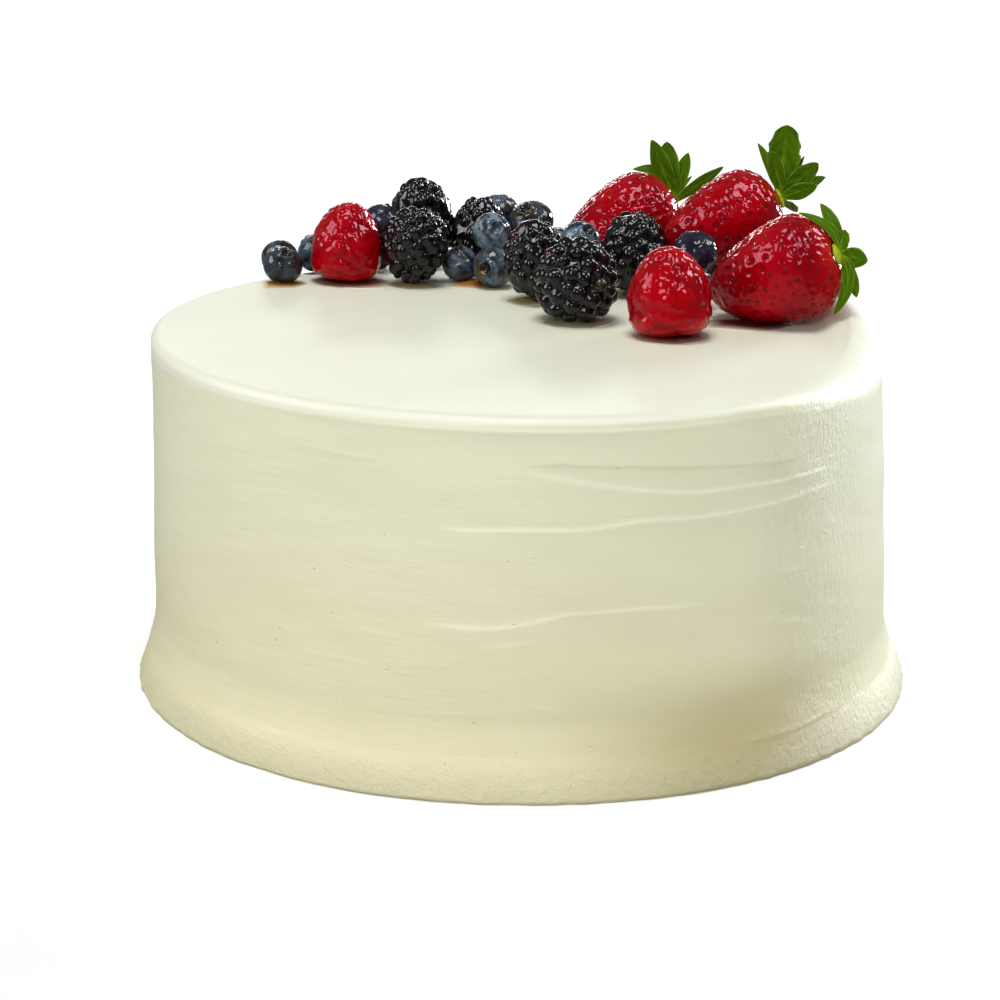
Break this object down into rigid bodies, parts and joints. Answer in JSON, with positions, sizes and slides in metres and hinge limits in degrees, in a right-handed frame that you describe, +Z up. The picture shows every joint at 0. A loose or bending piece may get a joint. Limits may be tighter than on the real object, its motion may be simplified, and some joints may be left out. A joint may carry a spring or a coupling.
{
  "type": "chantilly cake",
  "caption": "Whole round cake iced smooth with chantilly cream, with a crescent of glazed strawberries, raspberries, brambles and blueberries on the back right of its top.",
  "frame": {"origin": "middle of the cake's footprint, on the surface it stands on", "axes": "+Z up through the cake's middle; -Y is the front seen in the picture, with the strawberries at +X"},
  "size_m": [0.2178, 0.215, 0.1476],
  "materials": {
    "cream_icing": "smooth whipped cream, satin",
    "blueberry_skin": "blue-black skin with bloom, glazed",
    "raspberry_flesh": "red drupelets under thick glaze",
    "bramble_flesh": "near-black drupelets, glazed",
    "strawberry_skin": "deep red, seeded and glazed",
    "strawberry_leaf": "green leaf"
  },
  "bodies": {
    "root": {"cake": "cream_icing", "blueberry_1": "blueberry_skin", "blueberry_2": "blueberry_skin", "blueberry_3": "blueberry_skin", "blueberry_4": "blueberry_skin", "blueberry_5": "blueberry_skin", "blueberry_6": "blueberry_skin", "blueberry_7": "blueberry_skin", "blueberry_8": "blueberry_skin", "blueberry_9": "blueberry_skin", "blueberry_10": "blueberry_skin", "blueberry_11": "blueberry_skin", "blueberry_12": "blueberry_skin", "blueberry_13": "blueberry_skin", "blueberry_14": "blueberry_skin", "blueberry_15": "blueberry_skin", "blueberry_16": "blueberry_skin", "blueberry_17": "blueberry_skin", "blueberry_18": "blueberry_skin", "blueberry_19": "blueberry_skin", "blueberry_20": "blueberry_skin", "blueberry_21": "blueberry_skin", "blueberry_22": "blueberry_skin", "raspberry_1": "raspberry_flesh", "raspberry_2": "raspberry_flesh", "bramble_1": "bramble_flesh", "bramble_2": "bramble_flesh", "bramble_3": "bramble_flesh", "bramble_4": "bramble_flesh", "bramble_5": "bramble_flesh", "bramble_6": "bramble_flesh", "strawberry_1": "strawberry_skin", "strawberry_2": "strawberry_skin", "strawberry_3": "strawberry_skin", "calyx_1": "strawberry_leaf", "calyx_2": "strawberry_leaf", "calyx_3": "strawberry_leaf"}
  },
  "joints": []
}
